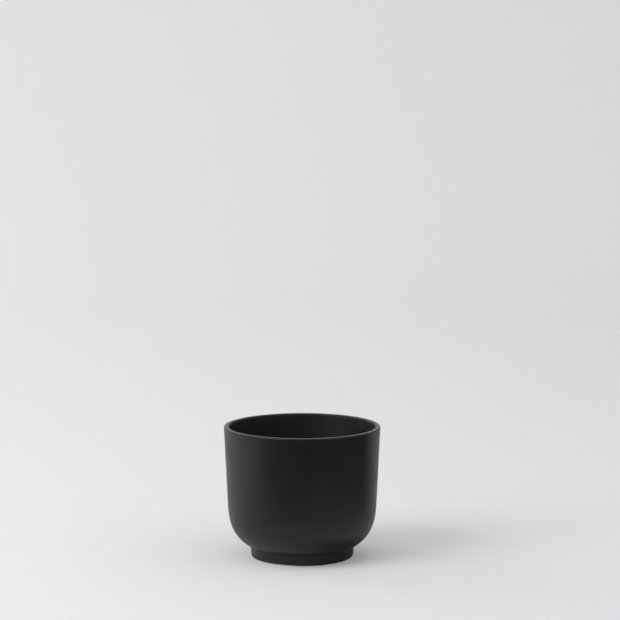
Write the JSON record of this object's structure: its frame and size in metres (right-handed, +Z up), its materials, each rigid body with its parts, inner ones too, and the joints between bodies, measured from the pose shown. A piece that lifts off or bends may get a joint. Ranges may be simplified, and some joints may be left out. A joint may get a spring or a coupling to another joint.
{
  "type": "candle jar",
  "caption": "Empty footed candle jar: a round-cornered tapered stoneware cup with a matte black glaze, open at the top, standing on a bare clay foot ring.",
  "frame": {"origin": "centre of the circle that the foot ring's sole rests on", "axes": "+Z up along the jar's axis, out of the mouth; the jar is round, so X and Y are any two directions across it"},
  "size_m": [0.09, 0.09, 0.0762],
  "materials": {
    "stoneware": "unglazed fired clay, matte, cream",
    "black_glaze": "matte black glaze with a soft satin sheen"
  },
  "bodies": {
    "root": {"bowl": "stoneware", "foot_ring": "stoneware", "outer_glaze": "black_glaze", "inner_glaze": "black_glaze", "base_glaze": "black_glaze"}
  },
  "joints": []
}
